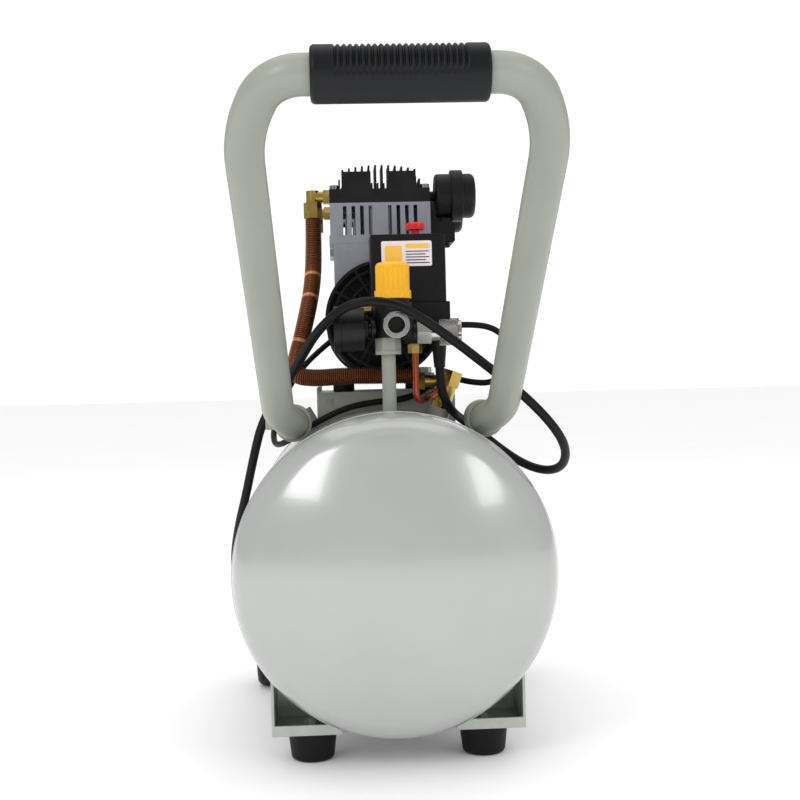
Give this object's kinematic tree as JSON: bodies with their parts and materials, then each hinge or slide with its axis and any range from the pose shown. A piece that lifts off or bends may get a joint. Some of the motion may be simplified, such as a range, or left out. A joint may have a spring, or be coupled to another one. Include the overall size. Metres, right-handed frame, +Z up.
{
  "type": "portable air compressor",
  "caption": "Portable horizontal-tank air compressor with an oil-free twin-cylinder motor pump, pressure switch, regulator, bent tube handle, two wheels and feet.",
  "frame": {"origin": "on the floor, under the middle of the bounding box of the compressor without its mains cord", "axes": "+X to the outlet coupler's side, +Y back along the tank from the handle end to the wheel end, +Z up"},
  "size_m": [0.3052, 0.7935, 0.5325],
  "materials": {
    "tank_paint": "pearl light grey gloss paint",
    "frame_paint": "grey-green satin paint",
    "zinc": "bright zinc plate",
    "grip_rubber": "moulded black rubber",
    "foot_rubber": "matt black rubber",
    "tyre": "black rubber tyre on a plastic hub",
    "cast_aluminium": "as-cast, shot blasted",
    "black_casting": "black paint on cast fins",
    "steel": "plain steel",
    "stator_steel": "laminated steel with windings",
    "brass": "turned brass",
    "copper": "drawn copper tube",
    "hose": "fine-ribbed brown hose",
    "black_plastic": "fine-textured black plastic",
    "guard_plastic": "black plastic",
    "yellow_plastic": "yellow moulded plastic",
    "red_plastic": "red moulded plastic",
    "chrome": "bright plated",
    "cord_rubber": "smooth black rubber sheath"
  },
  "bodies": {
    "tank_unit": {"base_plate": "frame_paint", "capacitor_box": "black_plastic", "check_valve": "brass", "copper_tubes": "copper", "cord_glands": "black_plastic", "crankcase_front": "cast_aluminium", "crankcase_rear": "cast_aluminium", "cylinder_block_front": "cast_aluminium", "cylinder_block_rear": "cast_aluminium", "cylinder_head_front": "black_casting", "cylinder_head_rear": "black_casting", "discharge_fittings": "brass", "discharge_hose": "hose", "drain_valve": "brass", "fan_guard_front": "guard_plastic", "fan_guard_rear": "guard_plastic", "foot_brackets": "zinc", "front_outlet": "chrome", "handle_grip": "grip_rubber", "handle_sockets": "frame_paint", "handle_tube": "frame_paint", "head_screws": "steel", "hex_bolts": "zinc", "intake_silencer_front": "black_plastic", "intake_silencer_rear": "black_plastic", "manifold": "black_casting", "motor_lead": "cord_rubber", "outlet_coupler": "chrome", "power_cord": "cord_rubber", "power_cord_coil": "cord_rubber", "power_cord_tail": "cord_rubber", "power_plug": "black_plastic", "pressure_gauge": "black_plastic", "pressure_switch_base": "black_plastic", "pressure_switch_cover": "black_plastic", "riser_nut": "frame_paint", "riser_pipe": "frame_paint", "rotor_bearings": "steel", "rubber_feet": "foot_rubber", "safety_valve": "brass", "stator_core": "stator_steel", "tank_bungs": "frame_paint", "tank_head_front": "tank_paint", "tank_head_rear": "tank_paint", "tank_shell": "tank_paint", "unloader_valve": "brass", "vibration_mounts": "foot_rubber", "wheel_bolts": "zinc", "wheel_brackets": "zinc"},
    "wheel_left": {"wheel_left": "tyre"},
    "wheel_right": {"wheel_right": "tyre"},
    "rotor": {"rotor_shaft": "steel", "cooling_fans": "guard_plastic"},
    "piston_front": {"piston_front": "cast_aluminium"},
    "piston_rear": {"piston_rear": "cast_aluminium"},
    "drain_knob": {"drain_knob": "brass"},
    "switch_knob": {"switch_knob": "red_plastic"},
    "regulator_knob": {"regulator_knob": "yellow_plastic"},
    "gauge_needle": {"gauge_needle": "red_plastic"},
    "coupler_sleeve": {"coupler_sleeve": "chrome"}
  },
  "joints": [
    {"name": "wheel_left_spin", "type": "hinge", "parent": "tank_unit", "child": "wheel_left", "pos_m": [-0.1225, 0.22553, 0.0375], "axis": [1, 0, 0], "continuous": true},
    {"name": "wheel_right_spin", "type": "hinge", "parent": "tank_unit", "child": "wheel_right", "pos_m": [0.1225, 0.22553, 0.0375], "axis": [1, 0, 0], "continuous": true},
    {"name": "rotor_spin", "type": "hinge", "parent": "tank_unit", "child": "rotor", "pos_m": [0, 0.15053, 0.3755], "axis": [0, 1, 0], "continuous": true},
    {"name": "piston_front_stroke", "type": "slide", "parent": "tank_unit", "child": "piston_front", "axis": [0, 0, 1], "range_m": [-0.0045, 0.0045]},
    {"name": "piston_rear_stroke", "type": "slide", "parent": "tank_unit", "child": "piston_rear", "axis": [0, 0, 1], "range_m": [-0.0045, 0.0045]},
    {"name": "drain_turn", "type": "hinge", "parent": "tank_unit", "child": "drain_knob", "pos_m": [0, 0.10053, 0.0146], "axis": [0, -1, 0], "range_deg": [0, 360]},
    {"name": "switch_press", "type": "slide", "parent": "tank_unit", "child": "switch_knob", "axis": [0, 0, 1], "range_m": [-0.004, 0]},
    {"name": "regulator_turn", "type": "hinge", "parent": "tank_unit", "child": "regulator_knob", "pos_m": [0.005, -0.03647, 0.4], "axis": [0, 0, 1], "range_deg": [-360, 360]},
    {"name": "needle_swing", "type": "hinge", "parent": "tank_unit", "child": "gauge_needle", "pos_m": [-0.0435, -0.03647, 0.363], "axis": [1, 0, 0], "range_deg": [0, 270]},
    {"name": "sleeve_release", "type": "slide", "parent": "tank_unit", "child": "coupler_sleeve", "axis": [-1, 0, 0], "range_m": [0, 0.005], "stiffness_N_per_m": 400}
  ]
}
